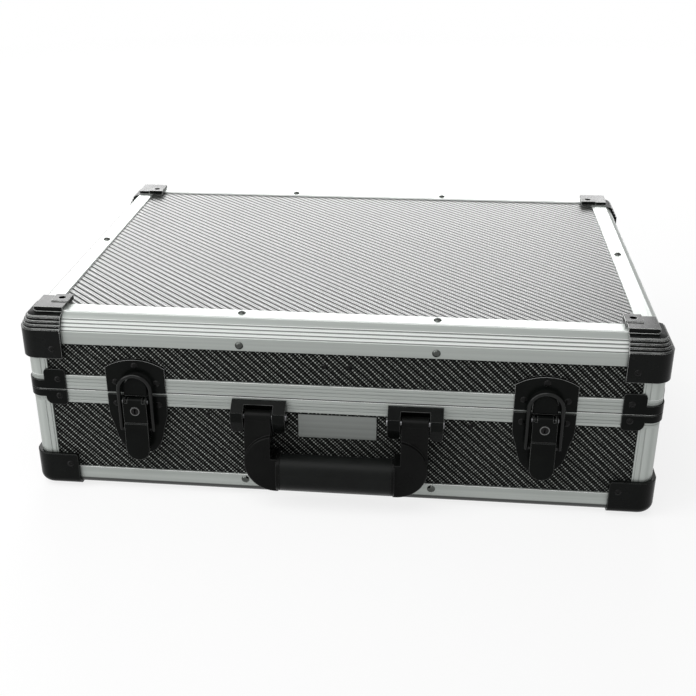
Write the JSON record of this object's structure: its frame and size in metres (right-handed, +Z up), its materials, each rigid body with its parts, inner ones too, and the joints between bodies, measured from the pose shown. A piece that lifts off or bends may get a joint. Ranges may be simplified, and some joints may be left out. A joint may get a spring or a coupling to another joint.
{
  "type": "tool case",
  "caption": "Flat tool case of dark woven-look panels in aluminium profiles, with ribbed black corner caps, lever latches with key locks and a folding handle.",
  "frame": {"origin": "on the ground under the middle of the closed case, with its handle and hinges counted", "axes": "+X to the right along the width, +Y to the rear where the hinges are, +Z up; the latches and handle are on the -Y side"},
  "size_m": [0.4682, 0.3535, 0.1486],
  "materials": {
    "laminate": "black laminate with a fine woven look, satin gloss",
    "edge_aluminium": "natural anodised, drawn along the profile",
    "cap_black": "satin moulded black",
    "fitting_black": "satin black coat",
    "bail_black": "satin black coat on round wire",
    "rivet_bright": "polished domed heads",
    "screw_black": "black oxide",
    "pin_steel": "plain turned steel",
    "lock_chrome": "polished plug with a dark key slot",
    "plate_metal": "brushed, blank",
    "handle_black": "satin moulded black",
    "grip_black": "soft satin black",
    "lining_foam": "dark grey closed-cell foam faced with cloth"
  },
  "bodies": {
    "base": {"base_front_panel": "laminate", "base_rear_panel": "laminate", "base_left_panel": "laminate", "base_right_panel": "laminate", "base_bottom_panel": "laminate", "base_bottom_edges": "edge_aluminium", "base_corner_posts": "edge_aluminium", "base_closure_frame": "edge_aluminium", "base_cap_front_left": "cap_black", "base_cap_front_right": "cap_black", "base_cap_rear_left": "cap_black", "base_cap_rear_right": "cap_black", "base_closure_corners": "fitting_black", "latch_plate_left": "fitting_black", "latch_plate_right": "fitting_black", "hinge_lower_left": "fitting_black", "hinge_lower_right": "fitting_black", "handle_bracket_left": "fitting_black", "handle_bracket_right": "fitting_black", "base_rivets": "rivet_bright", "base_screws": "screw_black", "base_black_rivets": "screw_black", "handle_pins": "pin_steel", "lever_pins": "pin_steel", "hinge_pins": "pin_steel", "name_plate": "plate_metal", "base_lining": "lining_foam"},
    "lid": {"lid_top_panel": "laminate", "lid_front_panel": "laminate", "lid_rear_panel": "laminate", "lid_left_panel": "laminate", "lid_right_panel": "laminate", "lid_top_edges": "edge_aluminium", "lid_corner_posts": "edge_aluminium", "lid_closure_frame": "edge_aluminium", "lid_cap_front_left": "cap_black", "lid_cap_front_right": "cap_black", "lid_cap_rear_left": "cap_black", "lid_cap_rear_right": "cap_black", "lid_closure_corners": "fitting_black", "keeper_left": "fitting_black", "keeper_right": "fitting_black", "hinge_upper_left": "fitting_black", "hinge_upper_right": "fitting_black", "lid_rivets": "rivet_bright", "lid_screws": "screw_black", "lid_black_rivets": "screw_black", "lid_lining": "lining_foam"},
    "handle": {"handle_frame": "handle_black", "handle_grip": "grip_black"},
    "latch_lever_left": {"latch_lever_left": "fitting_black"},
    "latch_bail_left": {"latch_bail_left": "bail_black"},
    "lock_plug_left": {"lock_plug_left": "lock_chrome"},
    "latch_lever_right": {"latch_lever_right": "fitting_black"},
    "latch_bail_right": {"latch_bail_right": "bail_black"},
    "lock_plug_right": {"lock_plug_right": "lock_chrome"}
  },
  "joints": [
    {"name": "lid_hinge", "type": "hinge", "parent": "base", "child": "lid", "pos_m": [0, 0.17315, 0.085], "axis": [-1, 0, 0], "range_deg": [0, 95]},
    {"name": "handle_pivot", "type": "hinge", "parent": "base", "child": "handle", "pos_m": [0, -0.15985, 0.0725], "axis": [-1, 0, 0], "range_deg": [0, 100]},
    {"name": "latch_lever_left_pivot", "type": "hinge", "parent": "base", "child": "latch_lever_left", "pos_m": [-0.148, -0.16035, 0.0804], "axis": [-1, 0, 0], "range_deg": [0, 110]},
    {"name": "latch_bail_left_pivot", "type": "hinge", "parent": "latch_lever_left", "child": "latch_bail_left", "pos_m": [-0.148, -0.16055, 0.0577], "axis": [1, 0, 0], "range_deg": [0, 145]},
    {"name": "lock_plug_left_turn", "type": "hinge", "parent": "latch_lever_left", "child": "lock_plug_left", "pos_m": [-0.148, -0.16085, 0.074], "axis": [0, -1, 0], "range_deg": [0, 90]},
    {"name": "latch_lever_right_pivot", "type": "hinge", "parent": "base", "child": "latch_lever_right", "pos_m": [0.148, -0.16035, 0.0804], "axis": [-1, 0, 0], "range_deg": [0, 110]},
    {"name": "latch_bail_right_pivot", "type": "hinge", "parent": "latch_lever_right", "child": "latch_bail_right", "pos_m": [0.148, -0.16055, 0.0577], "axis": [1, 0, 0], "range_deg": [0, 145]},
    {"name": "lock_plug_right_turn", "type": "hinge", "parent": "latch_lever_right", "child": "lock_plug_right", "pos_m": [0.148, -0.16085, 0.074], "axis": [0, -1, 0], "range_deg": [0, 90]}
  ],
  "couplings": [
    {"joint": "latch_bail_left_pivot", "follows": "latch_lever_left_pivot", "ratio": 1.3},
    {"joint": "latch_bail_right_pivot", "follows": "latch_lever_right_pivot", "ratio": 1.3}
  ]
}
